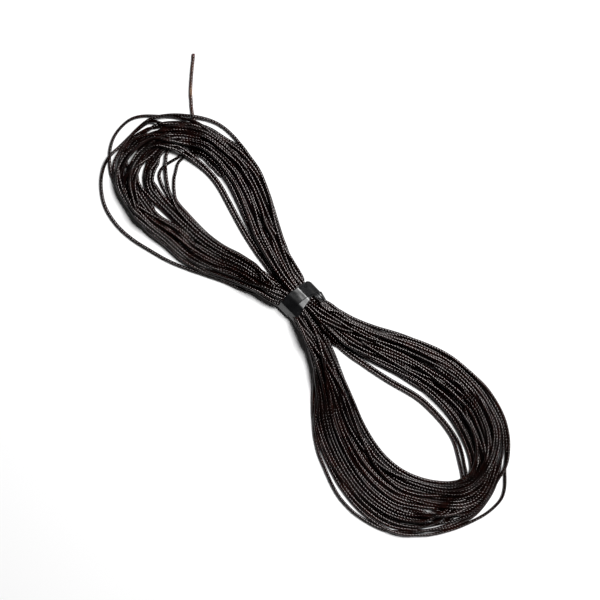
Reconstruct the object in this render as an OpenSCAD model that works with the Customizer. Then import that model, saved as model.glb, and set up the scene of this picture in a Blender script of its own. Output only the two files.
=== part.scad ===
// A hank of waxed cord, bound at its waist with a strip of black film.
// The hank lies flat. +X runs along it, +Z is up, and the origin is on the resting plane
// under the middle of the tie. All sizes are in millimetres.

/* [Cord] */
// Diameter of the waxed cord
cord_d = 1; // [0.8:0.1:1.2]
// Distance from the free end's route to each side of the flat where it leaves the hank
exit_land = 0.65; // [0.62:0.01:0.8]

/* [Hank] */
// Height of the two loops above the resting plane
loop_h = 2.8; // [2.2:0.1:3.6]
// Height of the gathered cord inside the tie, measured from its underside
waist_h = 4.8; // [4.4:0.1:5.4]
// Corner radius of the gathered cord inside the tie
waist_r = 2.2; // [1.6:0.1:2.2]

/* [Tie] */
// Width of the film strip
strip_w = 4.8; // [4:0.1:5.2]
// Thickness of the film strip
strip_t = 0.18; // [0.1:0.01:0.25]
// How far the first wrap shows beyond the second
wrap_step = 1.6; // [1:0.1:2]
// Clearance between the strip and the cord
strip_gap = 0.04; // [0.02:0.01:0.08]

/* [Hidden] */

// Facets of each smooth stretch between two outline points, and of each arc
curve_steps = 3;
arc_steps = 6;

// Edge of the hank in plan, right loop first, anticlockwise from below the waist
hank_edge = [
    [6, -7], [12, -10.5], [22, -16], [32, -24.5], [45, -33], [57, -36], [69, -34], [81, -26],
    [88, -15], [90.5, -10], [92, -4], [90.5, 3], [86, 9.5], [79, 17], [69, 22], [55, 23.5],
    [42, 21], [29, 15], [15, 8], [6, 4.8], [-2, 4.5], [-11, 7], [-25, 13.5], [-38, 19],
    [-51, 21.5], [-59, 20.5], [-67, 16.5], [-74, 9], [-78.5, 2], [-80, -3], [-78, -10],
    [-73.5, -17.5], [-65, -25], [-55, -26.5], [-43, -23.5], [-31, -19.5], [-18, -12.5],
    [-8, -8], [-2, -7]
];
// Open eye of each loop
right_eye = [
    [16, -2.3], [21, -4.5], [28, -7], [35, -10], [42, -12.8], [49, -14.8], [59, -15],
    [66.5, -13.3], [72, -10.3], [75, -7.5], [76.5, -4.5], [74, -1.2], [69, 1.8], [62, 3.7],
    [52, 4], [42, 2.3], [29, -0.8]
];
left_eye = [
    [-15, -2.2], [-25, 0], [-38, 3.5], [-45, 5], [-51, 5.5], [-56, 4.5], [-57.5, 1],
    [-55, -3.5], [-51, -6], [-45, -7.3], [-38, -7.3], [-31, -6.3], [-24, -4.2]
];

// Route of the free end along the resting plane, from the hank to its cut tip
free_end_route = [
    [-65.8, 15.8], [-67.2, 16.7], [-68.6, 17.7], [-70, 18.9], [-71.6, 20.2], [-73.1, 21.7],
    [-74.7, 23.4], [-76.2, 25.1], [-77.6, 26.7], [-79, 28.4], [-80.3, 29.8]
];
tube_sides = 8;
tube_steps = 2;

// Gathered cord inside the tie
waist_y0 = -7;
waist_y1 = 4.7;
waist_z0 = 2 * strip_t + strip_gap;
waist_z1 = waist_z0 + waist_h;

// Stretch of the hank that the strip holds, and where the strip's second wrap starts
tie_x0 = -3.8;
tie_x1 = tie_x0 + strip_w + wrap_step;
// Plain length of gathered cord past each side of the strip
waist_run = 1;
// Length over which the hank rises from its loops to the waist, and from the plane to the strip
rise_run = 16;
lift_run = 4;
hank_x0 = -90;
hank_x1 = 95;

// Loose corner of the strip, in plan
corner_points = [[-0.4, 0.4], [2.4, 0.8], [5.2, 5.1], [2.6, 6.2], [0.6, 2.6]];

// Point between b and c on a smooth curve through a, b, c and d
function smooth(a, b, c, d, t) =
    0.5 * (2 * b + (c - a) * t + (2 * a - 5 * b + 4 * c - d) * t * t
    + (3 * b - a - 3 * c + d) * t * t * t);

// Smooth ring through the points p
function smooth_ring(p) = let (n = len(p)) [
    for (i = [0:n - 1], k = [0:curve_steps - 1])
        smooth(p[(i + n - 1) % n], p[i], p[(i + 1) % n], p[(i + 2) % n], k / curve_steps)
];

// Smooth line through the points p, end to end
function smooth_line(p, steps) = let (n = len(p)) concat([
    for (i = [0:n - 2], k = [0:steps - 1])
        smooth(p[max(i - 1, 0)], p[i], p[i + 1], p[min(i + 2, n - 1)], k / steps)
], [p[n - 1]]);

// Quarter arc round the centre c, from the angle a0
function corner_arc(c, r, a0) = [
    for (k = [0:arc_steps]) c + r * [cos(a0 + 90 * k / arc_steps), sin(a0 + 90 * k / arc_steps)]
];

// Section of the gathered cord, grown outwards by grow
function waist_section(grow) = let (
    r = waist_r + grow,
    left = waist_y0 + waist_r,
    right = waist_y1 - waist_r,
    low = waist_z0 + waist_r,
    high = waist_z1 - waist_r
) concat(
    corner_arc([right, low], r, 270),
    corner_arc([right, high], r, 0),
    corner_arc([left, high], r, 90),
    corner_arc([left, low], r, 180)
);

// A section in the YZ plane, extruded along X from x0 to x1
module along_x(x0, x1) {
    translate([x0, 0, 0])
        rotate([90, 0, 90])
            linear_extrude(height = x1 - x0)
                children();
}

// Plan of the hank with its two open eyes
module hank_plan() {
    difference() {
        polygon(smooth_ring(hank_edge));
        polygon(smooth_ring(right_eye));
        polygon(smooth_ring(left_eye));
    }
}

// Height of the hank along X: low over the loops, high at the waist, lifted under the strip
module hank_side() {
    waist_x0 = tie_x0 - waist_run;
    waist_x1 = tie_x1 + waist_run;
    polygon([
        [hank_x0, 0], [waist_x0 - lift_run, 0], [waist_x0, waist_z0], [waist_x1, waist_z0],
        [waist_x1 + lift_run, 0], [hank_x1, 0], [hank_x1, loop_h], [waist_x1 + rise_run, loop_h],
        [waist_x1, waist_z1], [waist_x0, waist_z1], [waist_x0 - rise_run, loop_h],
        [hank_x0, loop_h]
    ]);
}

// Flat on the hank's edge that the free end leaves from, square to its route
module free_end_notch() {
    way = free_end_route[1] - free_end_route[0];
    translate([free_end_route[0].x, free_end_route[0].y, -1])
        rotate([0, 0, atan2(way.y, way.x)])
            translate([0, -exit_land, 0])
                cube([6, 2 * exit_land, 1.3 + cord_d]);
}

// The coiled turns, as one closed solid of their outer shape
module cord_hank() {
    color([0.14, 0.09, 0.08])
        union() {
            difference() {
                intersection() {
                    linear_extrude(height = waist_z1)
                        hank_plan();
                    translate([0, 50, 0])
                        rotate([90, 0, 0])
                            linear_extrude(height = 100)
                                hank_side();
                }
                free_end_notch();
                translate([tie_x0 - waist_run, -20, -1])
                    cube([tie_x1 - tie_x0 + 2 * waist_run, 40, 10]);
            }
            along_x(tie_x0 - waist_run, tie_x1 + waist_run)
                polygon(waist_section(0));
        }
}

// Ring of points round the route at the point q, square to the direction way
function tube_ring(q, way) = let (side = [-way.y, way.x] / norm(way)) [
    for (k = [0:tube_sides - 1])
        let (a = 360 * (k + 0.5) / tube_sides)
            [q.x + side.x * cos(a) * cord_d / 2, q.y + side.y * cos(a) * cord_d / 2,
             (1 + sin(a)) * cord_d / 2]
];

// The loose end of the cord, lying on the resting plane
module cord_free_end() {
    line = smooth_line(free_end_route, tube_steps);
    last = len(line) - 1;
    points = [
        for (i = [0:last])
            each tube_ring(line[i], i == 0 ? free_end_route[1] - free_end_route[0]
                                           : line[min(i + 1, last)] - line[i - 1])
    ];
    walls = [
        for (i = [0:last - 1], k = [0:tube_sides - 1])
            let (next = (k + 1) % tube_sides)
                [i * tube_sides + k, i * tube_sides + next, (i + 1) * tube_sides + next,
                 (i + 1) * tube_sides + k]
    ];
    start = [for (k = [tube_sides - 1:-1:0]) k];
    tip = [for (k = [0:tube_sides - 1]) last * tube_sides + k];
    color([0.14, 0.09, 0.08])
        polyhedron(points = points, faces = concat([start], walls, [tip]));
}

// One wrap of the strip from x0 to x1, on the given layer
module wrap(x0, x1, layer) {
    inner = strip_gap + layer * strip_t;
    along_x(x0, x1)
        difference() {
            polygon(waist_section(inner + strip_t));
            polygon(waist_section(inner));
        }
}

// The strip: two wraps round the waist, the first showing beside the second, and a loose corner
module tie_strip() {
    color([0.05, 0.05, 0.055])
        union() {
            wrap(tie_x0 + wrap_step, tie_x1, 0);
            wrap(tie_x0, tie_x0 + strip_w, 1);
            translate([0, 0, waist_z1 + strip_gap])
                linear_extrude(height = strip_t)
                    polygon(corner_points);
        }
}

cord_hank();
cord_free_end();
tie_strip();
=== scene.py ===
"""A hank of waxed cord, bound at its waist with a strip of black film.

Places are in the CAD frame: +X along the hank, +Z up, and the origin on the resting plane under
the strip. The cord is laid turn by turn along the two loops, then settled so that its turns lie
beside and on each other, and the strip is wrapped round it. Lengths in the shaping functions are
in millimetres, and become metres when a mesh is made.
"""
import math

import bpy
import numpy as np
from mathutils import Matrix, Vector


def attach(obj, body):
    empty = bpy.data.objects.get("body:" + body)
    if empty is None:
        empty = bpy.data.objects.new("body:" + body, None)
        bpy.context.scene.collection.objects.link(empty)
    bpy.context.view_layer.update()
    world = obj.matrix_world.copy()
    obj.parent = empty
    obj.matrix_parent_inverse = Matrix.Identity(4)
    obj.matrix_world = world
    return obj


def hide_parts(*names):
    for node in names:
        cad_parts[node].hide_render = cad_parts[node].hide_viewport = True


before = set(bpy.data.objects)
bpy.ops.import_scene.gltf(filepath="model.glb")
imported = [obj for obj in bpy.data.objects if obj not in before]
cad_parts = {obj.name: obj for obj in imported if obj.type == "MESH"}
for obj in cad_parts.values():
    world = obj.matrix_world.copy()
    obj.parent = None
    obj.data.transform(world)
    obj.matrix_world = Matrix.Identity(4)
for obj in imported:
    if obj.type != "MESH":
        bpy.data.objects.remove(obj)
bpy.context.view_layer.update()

MM = 0.001
TAU = 2 * math.pi


# ---- The cord and its turns: sizes and places, in millimetres --------------------------------

CORD_D = 1.0
CORD_LENGTH = 10000.0
TURNS = 28
SEED = 11

# Edges of the wound turns in plan, along one turn: inner x, inner y, outer x, outer y.
# A turn runs left along the top of the small loop, back along its bottom, right along the
# bottom of the large loop, and back along its top.
EDGES = np.array([
    # small loop, top
    (-4, -1, -4, 4.1), (-11, -0.6, -10, 6.1), (-18, 0.3, -16, 8.9), (-25, 1.8, -23, 12.3),
    (-31, 4.2, -30, 16), (-38, 6.9, -38, 18.9), (-43, 8.6, -46, 19.8), (-49, 9.6, -54, 18.7),
    (-55, 9, -62, 16.8), (-59, 6.2, -68.3, 11.9),
    # small loop, end
    (-60.8, 4.2, -73, 7), (-61.9, 1, -75.2, 1.3), (-61.5, -2.4, -75.2, -6),
    (-60, -5, -73.4, -13.2),
    # small loop, bottom
    (-59, -6.8, -68, -18.3), (-55, -7.7, -60, -20.8), (-50, -7.8, -51.5, -21.3),
    (-43, -7.4, -43, -20.6), (-37, -7.1, -35, -20), (-29.5, -5.9, -27, -17.2),
    (-23, -3.7, -21, -14), (-17, -2.3, -15, -11.2), (-10, -1.5, -9, -8.7), (-4, -0.8, -4, -7.1),
    # large loop, bottom
    (4, -1, 4, -6.9), (10, -1.6, 8, -7.6), (15.5, -2.6, 12, -9.8), (22, -5, 18.3, -13.6),
    (29, -7.8, 25.5, -19.3), (35.7, -10.6, 32.5, -25.6), (42, -13.1, 40.5, -29.8),
    (49, -14.8, 51, -32.9), (55.5, -15.4, 62, -34), (62, -14.6, 73, -31.7),
    (67.5, -12.5, 81.5, -25.2), (72, -9.5, 87.2, -17),
    # large loop, end
    (75.4, -5.9, 89.6, -9), (77.4, -2.6, 88.6, -1), (76.8, 0.4, 85.8, 6),
    (73.3, 3.2, 81.5, 12.8),
    # large loop, top
    (68.3, 5.5, 75, 18.8), (62, 7, 66, 22.3), (55.5, 7.3, 57, 23.4), (49, 6.6, 47.5, 22.5),
    (41, 4.7, 38.3, 19.4), (33, 1.9, 30.3, 15.8), (25.5, -0.6, 23, 11.6), (18.7, -1.7, 17, 8.6),
    (11.5, -1.4, 10.8, 6.4), (4.5, -1, 4.5, 4.4),
], float)
STATIONS = len(EDGES)

# Route of the free end, from inside the coil to its cut tip. The part's source has its visible
# points, from (-65.8, 15.8) on.
FREE_END = [
    (-38, 12.5), (-46, 12.4), (-54, 12), (-61, 13.4), (-65.8, 15.8), (-67.2, 16.7), (-68.6, 17.7),
    (-70, 18.9), (-71.6, 20.2), (-73.1, 21.7), (-74.7, 23.4), (-76.2, 25.1), (-77.6, 26.7),
    (-79, 28.4), (-80.3, 29.8),
]

# Loose runs of single turns that stray from the bundle: the turn, the first and the last station
# that the run stands for, its height above the plane, and its route in plan.
STRAYS = [
    # small loop: round the top, past the end, and round the bottom
    (17, 6, 12, 2.0, [(-44, 19.4), (-48, 20.1), (-51.5, 20.6), (-55, 20.55), (-58, 20.1),
                      (-61, 19), (-64, 17.2), (-67.3, 14.5), (-71.3, 10.6), (-74.3, 6),
                      (-75.3, 0), (-74.8, -6)]),
    (3, 9, 14, 0.5, [(-68.5, 12.5), (-71.5, 10), (-74.3, 7.3), (-77.3, 4.3), (-79.2, 1),
                     (-79.6, -2.7), (-79, -6.7), (-77.3, -10), (-74.3, -13.3), (-69.5, -16.5)]),
    (24, 11, 20, 1.5, [(-74.5, 5), (-75.3, 0), (-75.3, -6.7), (-75.2, -13), (-73.3, -17.5),
                       (-70, -21.3), (-64.7, -24.6), (-58, -26), (-51.3, -25.6), (-44.7, -24),
                       (-38, -22), (-31, -18.8), (-24, -14.8)]),
    # small loop: tight inner bends, and the pair along the top of the eye
    (11, 7, 17, 0.5, [(-47, 9.3), (-52, 9.4), (-56, 8.4), (-58.2, 6.2), (-58.6, 3.8),
                      (-58.3, 1.8), (-57.2, -0.3), (-55.6, -2.6), (-53.2, -5), (-50.3, -6.9),
                      (-46, -7.9)]),
    (15, 8, 17, 0.5, [(-50, 10), (-54.5, 9.8), (-57.8, 7.8), (-59.2, 5), (-59.9, 2.5),
                      (-60.5, 0.3), (-60.9, -2), (-60.9, -3.9), (-59.8, -5.3), (-57.4, -6.6),
                      (-54, -7.6), (-50, -8.3)]),
    (4, 8, 17, 0.8, [(-56, 9.5), (-60.5, 7.6), (-63.3, 5), (-63.8, 2.6), (-62.6, 0.6),
                     (-60.9, -1.3), (-59.1, -2.9), (-57, -4.5), (-54.6, -6), (-51.5, -7.3),
                     (-47, -8.4)]),
    (22, 1, 11, 1.5, [(-11, -1.2), (-18, -0.3), (-25, 0.9), (-31.3, 2.4), (-38, 4.3),
                      (-44.5, 6), (-50, 6.5), (-56, 5.9), (-60, 5.1), (-63.2, 4.2),
                      (-66, 2.6), (-68.2, -0.5)]),
    (7, 1, 10, 1.5, [(-11, -0.3), (-18, 0.7), (-25, 1.8), (-31.3, 3.3), (-38, 5.2),
                     (-44.5, 6.9), (-51, 7.4), (-57, 6.9), (-62.5, 5.6), (-66.5, 3)]),
    # large loop: round the bottom and past the end
    (9, 28, 33, 0.5, [(26.5, -19.6), (32.3, -25), (38.9, -29.8), (45.3, -32.5), (50, -34.2),
                      (54, -35.2), (58, -35.5), (62.5, -35.2), (68.7, -33.6), (74, -30.9)]),
    (20, 35, 39, 0.5, [(84.4, -20.7), (86, -17.2), (88.5, -12), (90, -8.3), (90.9, -5),
                       (91.2, -1.6), (90.9, 1.7), (89.6, 4.3), (87.7, 6.5), (84.7, 9.4),
                       (81.6, 13)]),
    (26, 38, 42, 1.5, [(85.4, 4.8), (84.9, 7.8), (83.6, 10.9), (81.6, 13.5), (79.6, 15.8),
                       (77.6, 17.4), (75.7, 18.7), (73.8, 19.7), (70, 21.1), (66, 22),
                       (60, 22.8)]),
    # large loop: the pair along the top of the eye
    (5, 35, 48, 0.5, [(80.5, -18), (82.8, -13), (82, -8.3), (79.6, -4.6), (76.8, -2),
                      (74, -0.3), (71, 1.5), (68, 3.2), (65, 4.2), (61, 4.85), (57, 5.05),
                      (52, 4.95), (48, 4.4), (44, 3.3), (40, 2.1), (36, 1.1), (32, 0.2),
                      (28, -0.6), (24, -1.4), (20, -1.9), (15.3, -2.2)]),
    (6, 35, 48, 0.5, [(81.3, -17.5), (83.7, -12.5), (83, -7.5), (80.6, -3.7), (77.7, -1),
                      (74.8, 0.9), (71.7, 2.8), (68.6, 4.3), (65.2, 5.2), (61, 5.8),
                      (57, 6), (52, 5.9), (48, 5.3), (44, 4.2), (40, 3), (36, 2), (32, 1.1),
                      (28, 0.3), (24, -0.5), (20, -1), (15, -1.2)]),
]

# Places along a turn at which the order of the turns across the bundle is set, and the turns
# that have a place of their own there, with their place from the inner edge to the outer
ORDERS = {
    "top_waist": (0, [(22, 0), (7, 0.04)]),
    "top_left": (5, [(17, 1), (22, 0), (7, 0.04), (11, 0.1), (15, 0.15)]),
    "left_tip": (9, [(17, 1), (3, 0.96), (24, 0.9), (11, 0), (15, 0.04), (4, 0.08), (22, 0.12),
                     (7, 0.15)]),
    "left_end": (12, [(24, 0.96), (11, 0), (15, 0.04), (4, 0.08), (22, 0.5), (7, 0.4)]),
    "left_low_tip": (14.2, [(24, 1), (17, 0.92), (3, 0.96), (11, 0), (15, 0.04), (4, 0.08),
                            (22, 0.55), (7, 0.4)]),
    "left_low_side": (16.2, [(24, 1), (11, 0), (15, 0.04), (4, 0.08)]),
    "low_left": (20.5, [(24, 1), (3, 0.9), (11, 0), (15, 0.04), (4, 0.08)]),
    "low_waist": (23.5, []),
    "low_right": (29, [(9, 1), (20, 0.96), (13, 0.92), (5, 0.6), (6, 0.56)]),
    "low_tip": (34, [(9, 0.96), (20, 1), (13, 0.92), (5, 0.6), (6, 0.56)]),
    "right_end": (37, [(26, 0.92)]),
    "top_tip": (40, [(20, 1), (26, 0.96), (13, 0.9), (5, 0), (6, 0.04)]),
    "top_right": (44, [(20, 0.96), (26, 1), (5, 0), (6, 0.04)]),
}
# The order at a place is the order at another place, partly shuffled: the other place, and how
# alike they are. 1 keeps the order, and -1 turns it over.
SHUFFLES = {
    "top_tip": ("top_right", 0.92), "low_tip": ("top_tip", -0.75), "low_right": ("low_tip", 0.97),
    "top_waist": ("top_right", 0.75), "top_left": ("top_waist", 0.85),
    "left_tip": ("top_left", 0.92), "left_low_tip": ("left_tip", -0.5),
    "left_low_side": ("left_low_tip", 0.95), "low_left": ("left_low_side", 0.95),
}
# How alike the order at the small loop's end is to the orders beside it, and how alike the
# turns' heights in the pile are from place to place
END_LIKENESS = 0.6
LEVEL_LIKENESS = 0.9
# A parting in the small loop's end and bottom, as a place from the inner edge to the outer. Only
# one pair of turns crosses it.
PARTING = 0.3

# Lens-shaped gaps between the turns of a bundle: the first and the last station, the place of
# the gap from the inner edge to the outer, and its width in millimetres
GAPS = [
    (12.6, 15.2, 0.3, 2), (14.1, 17.3, 0.34, 3), (14, 17, 0.17, 0.7), (16.4, 18.5, 0.46, 0.7),
    (8.3, 10, 0.76, 0.6), (9.3, 11.2, 0.82, 0.8), (7.4, 8.8, 0.93, 0.5),
    (40.8, 44.2, 0.58, 0.9), (42.2, 44.4, 0.77, 0.6), (40.4, 42.4, 0.87, 0.5),
    (39.2, 41, 0.8, 0.9),
]

# How far a turn wanders from its place across the bundle, as a share of the bundle's width, and
# over how many stations
WANDER = 0.035
WANDER_RUN = 4
# Height of the piled turns over the loops, and how much higher the pile is at the waist. How far
# the waist's height reaches to each side, and the length over which the pile then comes down.
LOOP_HEIGHT = 2.1
WAIST_RISE = 2.7
WAIST_REACH = 5
PILE_SLOPE = 26
# Points for each span of a wound turn and of the settled line, and distance between the rings
# of the finished cord
SPAN_POINTS = 8
SETTLED_SPAN_POINTS = 3
RING_STEP = 1.1


# ---- Settling: distances in millimetres for each round ---------------------------------------

SETTLE_STEP = 1.5
ROUNDS = 400
LAST_ROUNDS = 60
# Rounds between searches for neighbours, how near a neighbour is, and how many points along the
# cord don't count as its neighbours
SEARCH_EVERY = 8
NEAR = 2.3
OWN_POINTS = 3
# Turns press a little into each other where they touch, and bend no tighter than this
TOUCH = 0.95
TIGHTEST = 3.6
# How far a turn may shift sideways from where it was wound
LEEWAY = 0.8
# Each round brings a turn back by a share of the way to where it was wound: at the end, how much
# more at the start, and the share of both for each millimetre of the pile's height
PULL = 0.025
PULL_EARLY = 0.02
PULL_PER_HEIGHT = 0.55
# How far the cord sinks in the first round, and the share of that which is gone by the end
SINK = 0.013
SINK_LOSS = 0.5
# Share of a kink that the cord's stiffness takes out in a round, at first and in the last rounds
STIFFNESS = 0.25
LAST_STIFFNESS = 0.5
# Two stretches are taken as nearly parallel below this square of the sine between them
NEARLY_PARALLEL = 0.02
# Steps from a cell of the neighbour search to itself and to half of the cells round it
NEIGHBOURS = [(dx, dy, dz) for dx in (-1, 0, 1) for dy in (-1, 0, 1) for dz in (-1, 0, 1)
              if (dx, dy, dz) >= (0, 0, 0)]


# ---- The strip: sizes and places, in millimetres ---------------------------------------------

# Stretch of the hank that the strip holds, along X
HELD_FROM, HELD_TO = -4.0, 3.4
# Room that the film takes up inside its outline
FILM_ROOM = 0.16
# How far the pile reaches towards +Y inside the strip, which stands off from it on that side,
# and the height of that place
PILE_EDGE = 4.55
PILE_MIDDLE = 2.5

# The film strip, as (y, z, left x, right x) at the creases of each wrap: from the middle of the
# underside to the -Y side, over the top, and down the +Y side. The second wrap lies on the first.
FIRST_WRAP = [
    (1.5, 0.32, -2.4, 2.4), (-5.9, 0.32, -2.6, 3.6), (-6.9, 1.0, -2.6, 4.4),
    (-6.75, 1.9, -2.6, 4.65), (-5.15, 4.3, -2.7, 4.1), (-1.9, 5.22, -2.8, 3.05),
    (1.8, 4.55, -2.5, 2.4), (4.5, 2.8, -2.3, 1.8), (5.0, 2.4, -2.0, 1.9),
    (5.3, 1.8, -1.9, 2.0), (5.2, 1.05, -1.9, 2.1), (4.5, 0.36, -2.0, 2.2),
]
SECOND_WRAP = [
    (1.5, 0.1, -2.6, 1.8), (-6.0, 0.1, -3.2, 1.7), (-7.15, 0.9, -3.45, 1.6),
    (-7.05, 1.6, -3.5, 1.8), (-6.7, 2.2, -3.5, 0.9), (-5.25, 4.5, -3.7, 1.05),
    (-1.9, 5.45, -3.75, 0.85), (0, 5.38, -3.6, 0.95), (1.8, 5.12, -3.35, 1.1),
    (3.3, 3.9, -3.0, 1.65), (4.6, 3.0, -2.8, 2.1), (5.3, 2.5, -2.7, 2.4),
    (5.8, 2.1, -2.1, 3.2), (6.05, 1.6, -1.5, 4.2), (5.95, 1.0, -1.3, 4.0),
    (4.9, 0.06, -1.6, 3.0), (3.3, 0.02, -2.0, 2.6),
]

# The strip's loose corner, which stands out past its right edge at the +Y side: rows of places
# from the strip's edge outwards
LOOSE_CORNER = [
    [(1.2, 3.3, 4.55), (1.6, 4.1, 4.35), (2.1, 4.8, 4.15), (2.6, 5.5, 4.35), (2.9, 6.3, 3.8)],
    [(2.4, 3.7, 4.85), (2.8, 4.3, 4.6), (3.3, 4.8, 4.35), (3.8, 5.45, 4.3), (4.1, 6.05, 3.5)],
    [(3.4, 4.0, 4.8), (3.9, 4.4, 4.5), (4.4, 4.85, 4.25), (4.8, 5.3, 4.1), (5.3, 5.75, 3.2)],
    [(4.3, 4.35, 4.6), (4.9, 4.7, 4.3), (5.4, 4.9, 4.0), (6.0, 5.2, 3.4), (6.3, 5.45, 2.4)],
]
# Thickness of the film, distance between its rows of points, and the number of its evenly spaced
# columns
FILM_T = 0.12
FILM_STEP = 0.25
FILM_COLUMNS = 12
# Share of the strip's width that lies outside its evenly spaced columns, on each side
FILM_MARGIN = 0.1
# Places of the columns beside each edge, how far the edge rolls down, over what width, and the
# width of its bevel
EDGE_COLUMNS = np.array([0, 0.08, 0.16, 0.26])
EDGE_DROP = 0.13
EDGE_ROLL = 0.26
EDGE_BEVEL = 0.03
# Steps between the loose corner's key points
CORNER_STEPS = 4
# Height of the film's tension lines, the number of places across the strip that have a line of
# their own, and the length of a line's waves in rows
TENSION = 0.045
TENSION_PLACES = 4
TENSION_RUN = 9


# ---- Camera, light and finishes --------------------------------------------------------------

# Width of the view and the place that it is centred on in millimetres, and its turn
PICTURE_WIDTH = 192.0
PICTURE_TURN = math.radians(46)
PICTURE_CENTRE = (0.2, -0.5, 1.5)
# Focal length and width of the sensor, in millimetres
LENS = 85.0
SENSOR = 36.0

# Soft lights: place in metres, size in metres, and power in watts
KEY_LIGHT = ((0.04, 0.52, 0.78), 0.36, 14.0)
FILL_LIGHT = ((-0.2, -0.35, 0.9), 0.5, 0.05)
# Half of the floor's side in metres, its colour, and the strength of the light from all round
FLOOR_HALF = 3.0
FLOOR_TONE = (0.93, 0.93, 0.93, 1)
SKY_STRENGTH = 0.01

# Cord: sides of its tube, plies, and length of their twist in diameters
CORD_SIDES = 8
PLIES = 3
LAY = 2.85
# The scuffed patch: how many diameters from the tip its middle is, and how much it fades over one
# diameter from there. The bare stretch: how many diameters from the tip it ends.
SCUFF_AT = 12.2
SCUFF_FADE = 0.42
BARE_LENGTH = 24
# Depths of the bump, in metres
PLY_DEPTH = 0.00006
FIBRE_DEPTH = 0.000003
MOTTLE_DEPTH = 0.000002
FILM_LINE_DEPTH = 0.00001
FILM_CLOUD_DEPTH = 0.000012
# Colours of the cord and of the film
BROWN_BLACK = (0.0009, 0.0004, 0.0003)
DARK_BROWN = (0.0036, 0.0012, 0.0009)
RED_BROWN = (0.017, 0.0044, 0.0030)
BARE_BROWN = (0.060, 0.022, 0.012)
SCUFFED_TAN = (0.22, 0.12, 0.06)
CUT_RED = (0.060, 0.012, 0.012)
FILM_BLACK = (0.0022, 0.0022, 0.0026)
FILM_GREY = (0.006, 0.006, 0.0068)
DUST = (0.25, 0.25, 0.25)


# ---- Laying the turns ------------------------------------------------------------------------


def ranked(values):
    """The values' ranks, spread evenly from 0 to 1."""
    ranks = np.empty(len(values))
    ranks[np.argsort(values, kind="stable")] = np.arange(len(values))
    return ranks / (len(values) - 1)


def reshuffled(values, likeness, rng):
    """The same ranks again, partly shuffled: likeness 1 keeps the order and -1 turns it over."""
    noise = ranked(rng.random(len(values)))
    return ranked(likeness * values + (1 - abs(likeness)) * noise)


def put_in_place(values, turns):
    """Gives each named turn the place it asks for, by a swap with the turn that has it."""
    for turn, wanted in turns:
        other = int(np.argmin(np.abs(values - wanted)))
        values[turn], values[other] = values[other], values[turn]
    return values


def kept_apart(values, before):
    """The values ranked again, so that no turn crosses the parting since the order before."""
    beyond = (before >= PARTING).astype(float)
    return ranked(values * 0.5 + beyond)


def turn_orders(rng):
    """The order of the turns across the bundle and up the pile, at each place of ORDERS."""
    made = {"top_right": ranked(rng.random(TURNS))}
    for name, (other, likeness) in SHUFFLES.items():
        # each turn's start at the waist follows the end of the turn before it
        before = np.roll(made[other], 1) if name == "top_waist" else made[other]
        made[name] = reshuffled(before, likeness, rng)
    made["low_waist"] = ranked(made["low_left"] + made["low_right"])
    for name, (_, turns) in ORDERS.items():
        if name in made:
            put_in_place(made[name], turns)
    made["left_low_side"] = kept_apart(made["left_low_side"], made["left_low_tip"])
    crossing = np.argsort(np.abs(made["left_low_side"] - PARTING))[[0, 3]]
    made["left_low_side"][crossing] = made["left_low_side"][crossing[::-1]]
    made["low_left"] = kept_apart(made["low_left"], made["left_low_side"])
    lowest = np.minimum(made["low_tip"], made["top_tip"])
    made["right_end"] = put_in_place(ranked(lowest), ORDERS["right_end"][1])
    middle = made["left_tip"] + made["left_low_tip"]
    made["left_end"] = reshuffled(ranked(middle), END_LIKENESS, rng)
    made["left_end"] = kept_apart(made["left_end"], made["left_low_tip"])
    put_in_place(made["left_end"], ORDERS["left_end"][1])
    heights = {}
    level = ranked(rng.random(TURNS))
    for name in ORDERS:
        level = reshuffled(level, LEVEL_LIKENESS, rng)
        if name == "right_end":
            level = ranked(made["top_tip"] - made["low_tip"])
        if name == "left_end":
            level = ranked(made["left_low_tip"] - made["left_tip"])
        heights[name] = level
    return made, heights


def along_turns(orders):
    """A value for every station of every turn, eased from the values at the places of ORDERS."""
    at = np.array([ORDERS[name][0] for name in ORDERS])
    places = np.concatenate([at + k * STATIONS for k in range(TURNS)])
    values = np.stack([orders[name] for name in ORDERS], axis=1).ravel()
    return smooth_steps(np.arange(TURNS * STATIONS), places, values).reshape(TURNS, STATIONS)


def smooth_steps(x, places, values):
    """Values that ease from each place to the next."""
    i = np.clip(np.searchsorted(places, x, side="right") - 1, 0, len(places) - 2)
    t = np.clip((x - places[i]) / (places[i + 1] - places[i]), 0, 1)
    t = t * t * (3 - 2 * t)
    return values[i] * (1 - t) + values[i + 1] * t


def opened(u, width):
    """The turns' places again, with the turns on each side of a gap moved apart."""
    station = np.arange(STATIONS)
    for first, last, place, gap in GAPS:
        t = np.clip((station - first) / (last - first), 0, 1)
        share = gap * np.sin(math.pi * t) ** 2 / width
        u = np.where(u < place, u * (1 - share), 1 - (1 - u) * (1 - share))
    return u


def laid_turns(rng):
    """Points of the whole cord as it is wound, before it settles."""
    orders, heights = turn_orders(rng)
    inner, outer = EDGES[:, :2], EDGES[:, 2:]
    width = np.linalg.norm(outer - inner, axis=1)
    across = (outer - inner) / width[:, None]
    inner = inner + across * CORD_D / 2
    outer = outer - across * CORD_D / 2
    wander = smooth_noise(TURNS * STATIONS, WANDER_RUN, rng).reshape(TURNS, STATIONS) * WANDER
    u = opened(np.clip(along_turns(orders) + wander, 0, 1), width)
    plan = inner + (outer - inner) * u[..., None]
    z = CORD_D / 2 + along_turns(heights) * (stack_height(EDGES[:, 0]) - CORD_D)
    points = []
    for turn in range(TURNS):
        runs = {first: (last, [(x, y, height) for x, y in route])
                for k, first, last, height, route in STRAYS if k == turn}
        station = 0
        while station < STATIONS:
            if station in runs:
                last, run = runs[station]
                points += run
                station = last + 1
            else:
                points.append((*plan[turn, station], z[turn, station]))
                station += 1
    points += [(x, y, CORD_D / 2) for x, y in FREE_END]
    return np.array(points)


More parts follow.
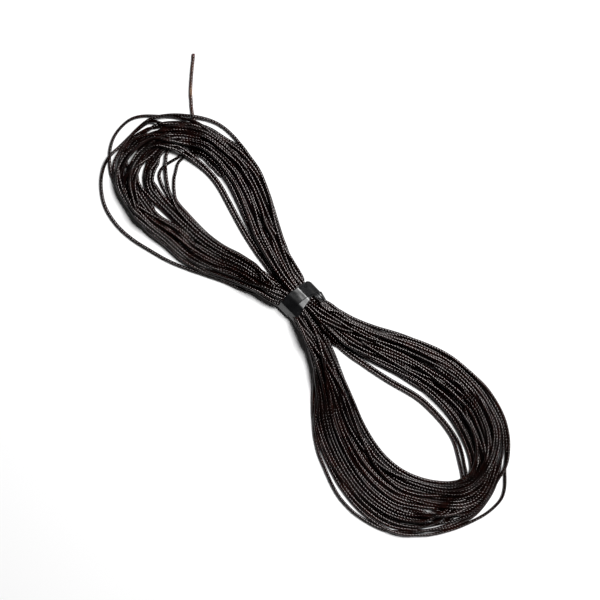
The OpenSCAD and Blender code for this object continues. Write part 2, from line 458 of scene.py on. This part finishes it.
def stack_height(x):
    """Height of the piled turns at x: tall at the waist and low over the loops."""
    near = np.clip(1 - (np.abs(x) - WAIST_REACH) / PILE_SLOPE, 0, 1)
    return LOOP_HEIGHT + WAIST_RISE * near * near * (3 - 2 * near)


def smooth_noise(count, step, rng):
    """Noise from -1 to 1 that changes over about step values."""
    coarse = rng.uniform(-1, 1, count // step + 4)
    x = np.arange(count) / step
    i = x.astype(int)
    t = x - i
    t = t * t * (3 - 2 * t)
    return coarse[i] * (1 - t) + coarse[i + 1] * t


def curve_through(points, per_span):
    """A smooth line through the points (Catmull-Rom), with per_span points for each span."""
    p = np.concatenate([points[:1] * 2 - points[1:2], points, points[-1:] * 2 - points[-2:-1]])
    a, b, c, d = p[:-3, None], p[1:-2, None], p[2:-1, None], p[3:, None]
    t = (np.arange(per_span) / per_span)[None, :, None]
    line = 0.5 * (2 * b + (c - a) * t + (2 * a - 5 * b + 4 * c - d) * t ** 2
                  + (3 * b - a - 3 * c + d) * t ** 3)
    return np.concatenate([line.reshape(-1, points.shape[1]), points[-1:]])


def distance_along(points):
    """How far along the line each of its points is."""
    return np.concatenate([[0], np.cumsum(np.linalg.norm(np.diff(points, axis=0), axis=1))])


def evenly_spaced(points, step):
    """The line again with its points about step apart."""
    along = distance_along(points)
    at = np.linspace(0, along[-1], int(round(along[-1] / step)) + 1)
    return np.stack([np.interp(at, along, points[:, k]) for k in range(points.shape[1])], axis=1)


# ---- Settling the cord -----------------------------------------------------------------------


def near_pairs(points, reach, skip):
    """Pairs of points within reach of each other that are more than skip places apart."""
    cell = np.floor(points / reach).astype(np.int64)
    cell -= cell.min(axis=0) - 1
    wide = cell.max(axis=0) + 2
    key = (cell[:, 0] * wide[1] + cell[:, 1]) * wide[2] + cell[:, 2]
    order = np.argsort(key, kind="stable")
    sorted_key = key[order]
    firsts, seconds = [], []
    for dx, dy, dz in NEIGHBOURS:
        wanted = key + (dx * wide[1] + dy) * wide[2] + dz
        start = np.searchsorted(sorted_key, wanted, "left")
        count = np.searchsorted(sorted_key, wanted, "right") - start
        i = np.repeat(np.arange(len(points)), count)
        offset = np.arange(count.sum()) - np.repeat(np.cumsum(count) - count, count)
        j = order[np.repeat(start, count) + offset]
        keep = np.abs(i - j) > skip
        if (dx, dy, dz) == (0, 0, 0):
            keep &= i < j
        firsts.append(i[keep])
        seconds.append(j[keep])
    i, j = np.concatenate(firsts), np.concatenate(seconds)
    close = ((points[i] - points[j]) ** 2).sum(axis=1) < reach * reach
    return i[close], j[close]


def push_apart(points, i, j):
    """Moves stretches of cord that overlap apart, each by half of the overlap."""
    half = SETTLE_STEP / 2
    way = np.empty_like(points)
    way[1:-1] = points[2:] - points[:-2]
    way[0], way[-1] = points[1] - points[0], points[-1] - points[-2]
    way /= np.linalg.norm(way, axis=1)[:, None]
    a, b, gap = way[i], way[j], points[j] - points[i]
    cos = (a * b).sum(axis=1)
    along_a, along_b = (gap * a).sum(axis=1), (gap * b).sum(axis=1)
    s = np.clip((along_a - cos * along_b) / np.maximum(1 - cos * cos, NEARLY_PARALLEL), -half, half)
    t = np.clip(s * cos - along_b, -half, half)
    s = np.clip(t * cos + along_a, -half, half)
    apart = gap + t[:, None] * b - s[:, None] * a
    far = np.linalg.norm(apart, axis=1)
    hit = far < TOUCH
    i, j, apart, far = i[hit], j[hit], apart[hit], far[hit]
    move = apart * (0.5 * (TOUCH - far) / np.maximum(far, 1e-6))[:, None]
    n = len(points)
    count = np.bincount(i, minlength=n) + np.bincount(j, minlength=n)
    scale = 1 / np.maximum(count, 1) ** 0.5
    for k in range(3):
        points[:, k] += scale * (np.bincount(j, move[:, k], n) - np.bincount(i, move[:, k], n))


def inside_tie(points, held, corners, inwards):
    """Keeps the held stretches inside the strip's opening: its corners, and each side's normal."""
    q = points[held, 1:]
    for corner, inward in zip(corners, inwards):
        short = CORD_D / 2 - (q - corner) @ inward
        q += np.maximum(short, 0)[:, None] * inward
    points[held, 1:] = q


def tie_opening():
    """Corners of the space inside the strip's first wrap, and the normals of its sides."""
    corners = np.array([(y, z) for y, z, _, _ in FIRST_WRAP])
    sides = np.roll(corners, -1, axis=0) - corners
    inwards = np.stack([sides[:, 1], -sides[:, 0]], axis=1)
    inwards /= np.linalg.norm(inwards, axis=1)[:, None]
    corners = np.vstack([corners + inwards * FILM_ROOM, (PILE_EDGE, PILE_MIDDLE)])
    return corners, np.vstack([inwards, (-1, 0)])


def settle(plan):
    """Lets the wound cord lie down: its turns press apart, rest on the plane and stay in the tie."""
    points = plan.copy()
    opening = tie_opening()
    held = np.flatnonzero((plan[:, 0] > HELD_FROM) & (plan[:, 0] < HELD_TO))
    bend = plan[:-2] - 2 * plan[1:-1] + plan[2:]
    bend[:, 2] = 0
    most = SETTLE_STEP ** 2 / TIGHTEST
    bend *= np.minimum(1, most / np.maximum(np.linalg.norm(bend, axis=1), 1e-9))[:, None]
    hold = PULL_PER_HEIGHT * stack_height(plan[:, :1])
    for k in range(ROUNDS):
        late = k / ROUNDS
        if k % SEARCH_EVERY == 0:
            pairs = near_pairs(points, NEAR, OWN_POINTS)
        pull = (PULL + PULL_EARLY * (1 - late)) * hold
        points[:, :2] += pull * (plan[:, :2] - points[:, :2])
        points[:, 2] -= SINK * (1 - SINK_LOSS * late)
        kink = points[:-2] - 2 * points[1:-1] + points[2:] - bend
        points[1:-1] += STIFFNESS * kink
        press(points, plan, pairs, held, opening)
    for k in range(LAST_ROUNDS):
        if k % SEARCH_EVERY == 0:
            pairs = near_pairs(points, NEAR, OWN_POINTS)
        kink = points[:-2] - 2 * points[1:-1] + points[2:]
        size = np.linalg.norm(kink, axis=1)
        share = LAST_STIFFNESS * np.maximum(size - most, 0) / np.maximum(size, 1e-9)
        points[1:-1] += share[:, None] * kink
        press(points, plan, pairs, held, opening)
    return points


def press(points, plan, pairs, held, opening):
    """One round of contact: the cord keeps its length, its turns, the plane and the strip."""
    stretch(points)
    push_apart(points, *pairs)
    keep_near(points, plan)
    points[:, 2] = np.maximum(points[:, 2], CORD_D / 2)
    inside_tie(points, held, *opening)


def keep_near(points, plan):
    """Keeps every point within LEEWAY, in plan, of where it was wound."""
    away = points[:, :2] - plan[:, :2]
    far = np.linalg.norm(away, axis=1)
    points[:, :2] = plan[:, :2] + away * np.minimum(1, LEEWAY / np.maximum(far, 1e-9))[:, None]


def stretch(points):
    """Brings neighbouring points back to their spacing."""
    for start in (0, 1):
        a, b = points[start:-1:2], points[start + 1::2]
        n = min(len(a), len(b))
        a, b = a[:n], b[:n]
        way = b - a
        far = np.linalg.norm(way, axis=1)[:, None]
        fix = way * (0.5 * (far - SETTLE_STEP) / far)
        points[start:start + 2 * n:2] += fix
        points[start + 1:start + 1 + 2 * n:2] -= fix


def cord_line():
    """The settled cord's centreline, from its hidden end to its free end."""
    rng = np.random.default_rng(SEED)
    rough = curve_through(laid_turns(rng), SPAN_POINTS)
    plan = evenly_spaced(rough, SETTLE_STEP)
    settled = settle(plan)
    line = curve_through(settled, SETTLED_SPAN_POINTS)
    along = distance_along(line)
    line = line[along >= along[-1] - CORD_LENGTH]
    return evenly_spaced(line, RING_STEP)


# ---- Camera, light and floor -----------------------------------------------------------------


def make_camera():
    """A camera straight above the hank, turned so that the hank lies across the picture."""
    data = bpy.data.cameras.new("camera")
    data.lens, data.sensor_width = LENS, SENSOR
    camera = bpy.data.objects.new("camera", data)
    bpy.context.collection.objects.link(camera)
    far = PICTURE_WIDTH * LENS / SENSOR
    x, y, z = PICTURE_CENTRE
    camera.location = (x * MM, y * MM, (z + far) * MM)
    camera.rotation_euler = (0, 0, PICTURE_TURN)
    data.clip_start, data.clip_end = 0.01, 10
    bpy.context.scene.camera = camera


def make_light(name, place, size, power):
    """A square soft light at a place, aimed at the hank."""
    data = bpy.data.lights.new(name, "AREA")
    data.shape, data.size, data.energy = "SQUARE", size, power
    lamp = bpy.data.objects.new(name, data)
    bpy.context.collection.objects.link(lamp)
    lamp.location = place
    lamp.rotation_euler = (-Vector(place)).to_track_quat("-Z", "Y").to_euler()


def make_stage():
    """A plain pale floor and soft studio light."""
    mesh = bpy.data.meshes.new("floor")
    half = FLOOR_HALF
    corners = [(-half, -half, 0), (half, -half, 0), (half, half, 0), (-half, half, 0)]
    mesh.from_pydata(corners, [], [(0, 1, 2, 3)])
    floor = bpy.data.objects.new("floor", mesh)
    bpy.context.collection.objects.link(floor)
    material, shader = new_material("pale_floor")
    shader.inputs["Base Color"].default_value = FLOOR_TONE
    shader.inputs["Roughness"].default_value = 0.9
    shader.inputs["Specular IOR Level"].default_value = 0.0
    mesh.materials.append(material)
    world = bpy.data.worlds.new("studio")
    world.use_nodes = True
    back = world.node_tree.nodes["Background"]
    back.inputs["Color"].default_value = (1, 1, 1, 1)
    back.inputs["Strength"].default_value = SKY_STRENGTH
    bpy.context.scene.world = world
    make_light("key_softbox", *KEY_LIGHT)
    make_light("fill_softbox", *FILL_LIGHT)
    bpy.context.scene.view_settings.view_transform = "Standard"


# ---- Materials -------------------------------------------------------------------------------


def new_material(name):
    """A material with a lone Principled shader, and that shader."""
    material = bpy.data.materials.new(name)
    material.use_nodes = True
    return material, material.node_tree.nodes["Principled BSDF"]


def shader_node(material, kind, **settings):
    """A node of the material with some of its settings made."""
    made = material.node_tree.nodes.new(kind)
    for name, value in settings.items():
        setattr(made, name, value)
    return made


def sums(material, operation, first, second):
    """A math node on two inputs, each a number or a socket; gives its output."""
    made = shader_node(material, "ShaderNodeMath", operation=operation)
    for socket, value in zip(made.inputs, (first, second)):
        if isinstance(value, (int, float)):
            socket.default_value = value
        else:
            material.node_tree.links.new(value, socket)
    return made.outputs[0]


def noise(material, place, scale, detail, rough=0.5):
    """A noise texture at a place socket; gives its value from 0 to 1."""
    made = shader_node(material, "ShaderNodeTexNoise")
    made.inputs["Scale"].default_value = scale
    made.inputs["Detail"].default_value = detail
    made.inputs["Roughness"].default_value = rough
    material.node_tree.links.new(place, made.inputs["Vector"])
    return made.outputs["Fac"]


def ramp(material, value, stops):
    """A colour ramp on a value; each stop is a position and a colour or a grey level."""
    made = shader_node(material, "ShaderNodeValToRGB")
    elements = made.color_ramp.elements
    while len(elements) < len(stops):
        elements.new(1.0)
    for element, (position, tone) in zip(elements, stops):
        element.position = position
        element.color = (*tone, 1) if isinstance(tone, tuple) else (tone, tone, tone, 1)
    material.node_tree.links.new(value, made.inputs["Fac"])
    return made.outputs["Color"]


def mixed(material, share, first, second):
    """A mix of two colours, by a share socket; each is a socket or a colour."""
    made = shader_node(material, "ShaderNodeMix", data_type="RGBA")
    material.node_tree.links.new(share, made.inputs[0])
    for socket, tone in zip((made.inputs[6], made.inputs[7]), (first, second)):
        if isinstance(tone, tuple):
            socket.default_value = (*tone, 1)
        else:
            material.node_tree.links.new(tone, socket)
    return made.outputs[2]


def bumped(material, shader, layers):
    """Bump from several heights, each with its depth in metres, into the shader's normal."""
    normal = None
    for height, depth in layers:
        bump = shader_node(material, "ShaderNodeBump")
        bump.inputs["Distance"].default_value = depth
        material.node_tree.links.new(height, bump.inputs["Height"])
        if normal is not None:
            material.node_tree.links.new(normal, bump.inputs["Normal"])
        normal = bump.outputs["Normal"]
    material.node_tree.links.new(normal, shader.inputs["Normal"])


def cord_material():
    """Dark brown cord of twisted plies, under a satin coat of wax."""
    material, shader = new_material("waxed_cord")
    link = material.node_tree.links.new
    position = shader_node(material, "ShaderNodeTexCoord").outputs["Object"]
    split = shader_node(material, "ShaderNodeSeparateXYZ")
    link(shader_node(material, "ShaderNodeUVMap", uv_map="cord_map").outputs["UV"], split.inputs[0])
    around, along = split.outputs[0], split.outputs[1]

    # rounded plies with a groove between them, and fibres that run with the plies
    lay = sums(material, "DIVIDE", along, LAY)
    turn = sums(material, "ADD", around, lay)
    phase = sums(material, "MULTIPLY", turn, TAU * PLIES / 2)
    ply = sums(material, "ABSOLUTE", sums(material, "SINE", phase, 0), 0)
    ply = sums(material, "POWER", ply, 0.6)
    angle = sums(material, "MULTIPLY", turn, TAU)
    wound = shader_node(material, "ShaderNodeCombineXYZ")
    link(sums(material, "COSINE", angle, 0), wound.inputs[0])
    link(sums(material, "SINE", angle, 0), wound.inputs[1])
    link(sums(material, "MULTIPLY", along, 0.12), wound.inputs[2])
    fibres = noise(material, wound.outputs[0], 5.0, 3)

    # colour: slow changes along the cord, small mottling and fibres
    drift = shader_node(material, "ShaderNodeCombineXYZ")
    link(sums(material, "MULTIPLY", along, 0.011), drift.inputs[0])
    slow = noise(material, drift.outputs[0], 1.0, 3, 0.6)
    mottle = noise(material, position, 420, 4, 0.6)
    tone = sums(material, "ADD", sums(material, "MULTIPLY", slow, 0.55),
                sums(material, "MULTIPLY", mottle, 0.45))
    tone = sums(material, "ADD", tone, sums(material, "MULTIPLY", fibres, 0.12))
    colour = ramp(material, tone, [(0.44, BROWN_BLACK), (0.56, DARK_BROWN), (0.70, RED_BROWN)])

    # wear near the free end: browner where the wax has gone, a scuffed patch and a reddish tip
    bare = ramp(material, sums(material, "DIVIDE", along, BARE_LENGTH), [(0.75, 1.0), (1.0, 0.0)])
    colour = mixed(material, bare, colour, ramp(material, mottle, [(0.35, RED_BROWN),
                                                                   (0.65, BARE_BROWN)]))
    patch = sums(material, "SUBTRACT", 1, sums(material, "MULTIPLY", sums(
        material, "ABSOLUTE", sums(material, "SUBTRACT", along, SCUFF_AT), 0), SCUFF_FADE))
    rubbed = ramp(material, sums(material, "ADD", patch, sums(material, "MULTIPLY", mottle, 0.5)),
                  [(0.55, 0.0), (1.0, 1.0)])
    rubbed = sums(material, "MULTIPLY", rubbed, ramp(material, fibres, [(0.36, 0.15), (0.6, 1.0)]))
    colour = mixed(material, rubbed, colour, SCUFFED_TAN)
    cut = ramp(material, along, [(0.7, 1.0), (1.0, 0.0)])
    colour = mixed(material, cut, colour, CUT_RED)
    link(colour, shader.inputs["Base Color"])

    # wax: smooth on the plies, dull where it has rubbed off
    runs = shader_node(material, "ShaderNodeCombineXYZ")
    link(sums(material, "MULTIPLY", along, 0.04), runs.inputs[1])
    wax = sums(material, "ADD",
               sums(material, "MULTIPLY", noise(material, runs.outputs[0], 1.0, 2), 0.5),
               sums(material, "MULTIPLY", noise(material, position, 140, 3, 0.6), 0.5))
    gloss = ramp(material, wax, [(0.43, 0.06), (0.51, 0.13), (0.60, 0.32)])
    link(sums(material, "ADD", gloss, sums(material, "MULTIPLY", fibres, 0.04)),
         shader.inputs["Roughness"])
    shader.inputs["IOR"].default_value = 1.46
    shader.inputs["Specular Tint"].default_value = (1.0, 0.93, 0.92, 1)
    bumped(material, shader, [(ply, PLY_DEPTH), (fibres, FIBRE_DEPTH), (mottle, MOTTLE_DEPTH)])
    return material


def film_material():
    """Thin black plastic film: glossy, with faint stretch lines, scratches and dust."""
    material, shader = new_material("black_film")
    link = material.node_tree.links.new
    position = shader_node(material, "ShaderNodeTexCoord").outputs["Object"]
    stretched = shader_node(material, "ShaderNodeMapping")
    stretched.inputs["Scale"].default_value = (6.0, 0.5, 0.5)
    link(position, stretched.inputs["Vector"])
    lines = noise(material, stretched.outputs[0], 700, 3, 0.6)
    cloud = noise(material, position, 500, 4, 0.6)
    dust = noise(material, position, 3600, 1)
    specks = ramp(material, dust, [(0.80, 0.0), (0.83, 1.0)])
    base = ramp(material, cloud, [(0.3, FILM_BLACK), (0.75, FILM_GREY)])
    link(mixed(material, specks, base, DUST), shader.inputs["Base Color"])
    link(ramp(material, cloud, [(0.3, 0.25), (0.7, 0.36)]), shader.inputs["Roughness"])
    shader.inputs["IOR"].default_value = 1.5
    bumped(material, shader, [(lines, FILM_LINE_DEPTH), (cloud, FILM_CLOUD_DEPTH)])
    return material


# ---- Pieces ----------------------------------------------------------------------------------


def cord_tree():
    """Geometry nodes that turn a line into a capped round cord."""
    tree = bpy.data.node_groups.new("round_cord", "GeometryNodeTree")
    face = tree.interface
    face.new_socket("Geometry", in_out="INPUT", socket_type="NodeSocketGeometry")
    radius = face.new_socket("Radius", in_out="INPUT", socket_type="NodeSocketFloat")
    sides = face.new_socket("Sides", in_out="INPUT", socket_type="NodeSocketInt")
    coat = face.new_socket("Material", in_out="INPUT", socket_type="NodeSocketMaterial")
    face.new_socket("Geometry", in_out="OUTPUT", socket_type="NodeSocketGeometry")
    radius.default_value, sides.default_value = CORD_D / 2 * MM, CORD_SIDES
    start = tree.nodes.new("NodeGroupInput")
    end = tree.nodes.new("NodeGroupOutput")
    line = tree.nodes.new("GeometryNodeMeshToCurve")
    ring = tree.nodes.new("GeometryNodeCurvePrimitiveCircle")
    tube = tree.nodes.new("GeometryNodeCurveToMesh")
    tube.inputs["Fill Caps"].default_value = True
    smooth = tree.nodes.new("GeometryNodeSetShadeSmooth")
    real = tree.nodes.new("GeometryNodeRealizeInstances")
    finish = tree.nodes.new("GeometryNodeSetMaterial")
    link = tree.links.new
    link(start.outputs["Geometry"], line.inputs["Mesh"])
    link(start.outputs["Radius"], ring.inputs["Radius"])
    link(start.outputs["Sides"], ring.inputs["Resolution"])
    link(line.outputs["Curve"], tube.inputs["Curve"])
    link(ring.outputs["Curve"], tube.inputs["Profile Curve"])
    link(tube.outputs["Mesh"], smooth.inputs["Geometry"])
    link(smooth.outputs["Geometry"], real.inputs["Geometry"])
    link(real.outputs["Geometry"], finish.inputs["Geometry"])
    link(start.outputs["Material"], finish.inputs["Material"])
    link(finish.outputs["Geometry"], end.inputs["Geometry"])
    return tree, {"radius": radius.identifier, "sides": sides.identifier, "coat": coat.identifier}


def make_cord(line):
    """The cord as one tube along its line, in metres."""
    mesh = bpy.data.meshes.new("cord_line")
    count = len(line)
    mesh.from_pydata([tuple(p * MM) for p in line], [(k, k + 1) for k in range(count - 1)], [])
    maker = bpy.data.objects.new("cord_maker", mesh)
    bpy.context.collection.objects.link(maker)
    tree, inputs = cord_tree()
    modifier = maker.modifiers.new("round_cord", "NODES")
    modifier.node_group = tree
    modifier[inputs["radius"]] = CORD_D / 2 * MM
    modifier[inputs["sides"]] = CORD_SIDES
    modifier[inputs["coat"]] = cord_material()
    piece = finished(maker, "waxed_cord")
    along = distance_along(line)
    map_cord(piece.data, along[-1] - along)
    return piece


def map_cord(mesh, along):
    """Maps the cord: u once round it, and v its distance from the tip, in diameters."""
    corners = np.empty(len(mesh.loops), np.int32)
    mesh.loops.foreach_get("vertex_index", corners)
    faces = np.empty(len(mesh.polygons), np.int32)
    mesh.polygons.foreach_get("loop_total", faces)
    side = corners % CORD_SIDES
    first = np.concatenate([[0], np.cumsum(faces)[:-1]])
    wraps = np.maximum.reduceat(side, first) == CORD_SIDES - 1
    across_seam = np.repeat(wraps & (faces == 4), faces) & (side == 0)
    ring = np.minimum(corners // CORD_SIDES, len(along) - 1)
    layer = mesh.uv_layers.new(name="cord_map")
    uv = np.stack([side / CORD_SIDES + across_seam, along[ring] / CORD_D], axis=1)
    layer.data.foreach_set("uv", uv.astype(np.float32).ravel())


def finished(maker, name):
    """A plain mesh object of what the maker's modifiers give, in place of the maker."""
    depsgraph = bpy.context.evaluated_depsgraph_get()
    mesh = bpy.data.meshes.new_from_object(maker.evaluated_get(depsgraph), depsgraph=depsgraph)
    mesh.name = name
    piece = bpy.data.objects.new(name, mesh)
    bpy.context.collection.objects.link(piece)
    bpy.data.objects.remove(maker)
    return piece


def film_rows():
    """Rows of points across the wrapped strip, from its hidden start to its end."""
    keys = np.array(FIRST_WRAP + SECOND_WRAP)
    keys = evenly_spaced(keys, FILM_STEP)
    rounded = keys.copy()
    rounded[1:-1] = 0.25 * keys[:-2] + 0.5 * keys[1:-1] + 0.25 * keys[2:]
    width = (rounded[:, 3] - rounded[:, 2])[:, None]
    middle = FILM_MARGIN + (1 - 2 * FILM_MARGIN) * np.linspace(0, 1, FILM_COLUMNS)
    share = np.concatenate([EDGE_COLUMNS / width, middle * np.ones_like(width),
                            1 - EDGE_COLUMNS[::-1] / width], axis=1)
    x = rounded[:, 2:3] + width * share
    y = np.repeat(rounded[:, 0:1], share.shape[1], axis=1)
    z = np.repeat(rounded[:, 1:2], share.shape[1], axis=1)
    rows = np.stack([x, y, z], axis=2)
    from_edge = np.minimum(share, 1 - share) * width
    drop = EDGE_DROP * np.clip(1 - from_edge / EDGE_ROLL, 0, 1) ** 2
    return rows - outwards(rows) * drop[..., None]


def outwards(rows):
    """The direction out of the sheet at each point of a grid."""
    out = np.cross(np.gradient(rows, axis=1), np.gradient(rows, axis=0))
    return out / np.maximum(np.linalg.norm(out, axis=2, keepdims=True), 1e-9)


def patch_rows(keys, steps):
    """A finer grid of points through a grid of key points."""
    rows = np.stack([curve_through(row, steps) for row in np.array(keys, float)])
    columns = [curve_through(rows[:, k], steps) for k in range(rows.shape[1])]
    return np.stack(columns, axis=1)


def pulled_tight(rows, rng):
    """The rows again with the faint tension lines of film that was pulled tight."""
    along = np.stack([smooth_noise(len(rows), TENSION_RUN, rng)
                      for _ in range(TENSION_PLACES)], axis=1)
    share = np.linspace(0, TENSION_PLACES - 1, rows.shape[1])
    k = np.minimum(share.astype(int), TENSION_PLACES - 2)
    t = share - k
    lift = TENSION * (along[:, k] * (1 - t) + along[:, k + 1] * t)
    return rows + outwards(rows) * lift[..., None]


def add_grid(points, faces, rows):
    """Adds a grid of faces, with its front on the side that x and then the rows turn to."""
    start = len(points)
    count, wide = rows.shape[:2]
    points += [tuple(p * MM) for p in rows.reshape(-1, 3)]
    for r in range(count - 1):
        for c in range(wide - 1):
            k = start + r * wide + c
            faces.append((k, k + 1, k + wide + 1, k + wide))


def make_tie():
    """The film strip: wrapped twice round the waist, creased, with one loose corner."""
    rng = np.random.default_rng(SEED + 1)
    points, faces = [], []
    add_grid(points, faces, pulled_tight(film_rows(), rng))
    add_grid(points, faces, patch_rows(LOOSE_CORNER, CORNER_STEPS).transpose(1, 0, 2))
    mesh = bpy.data.meshes.new("strip_sheet")
    mesh.from_pydata(points, [], faces)
    mesh.materials.append(film_material())
    mesh.shade_smooth()
    maker = bpy.data.objects.new("strip_maker", mesh)
    bpy.context.collection.objects.link(maker)
    wall = maker.modifiers.new("film", "SOLIDIFY")
    wall.thickness, wall.offset = FILM_T * MM, -1
    edge = maker.modifiers.new("edge", "BEVEL")
    edge.width, edge.segments, edge.limit_method = EDGE_BEVEL * MM, 2, "ANGLE"
    edge.angle_limit = math.radians(50)
    piece = finished(maker, "film_tie")
    piece.data.set_sharp_from_angle(angle=math.radians(14))
    return piece


# ---- Making the hank -------------------------------------------------------------------------

make_camera()
route = cord_line()
cord = make_cord(route)
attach(cord, "root")
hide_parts("cord_hank", "cord_free_end")

tie = make_tie()
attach(tie, "root")
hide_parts("tie_strip")

make_stage()
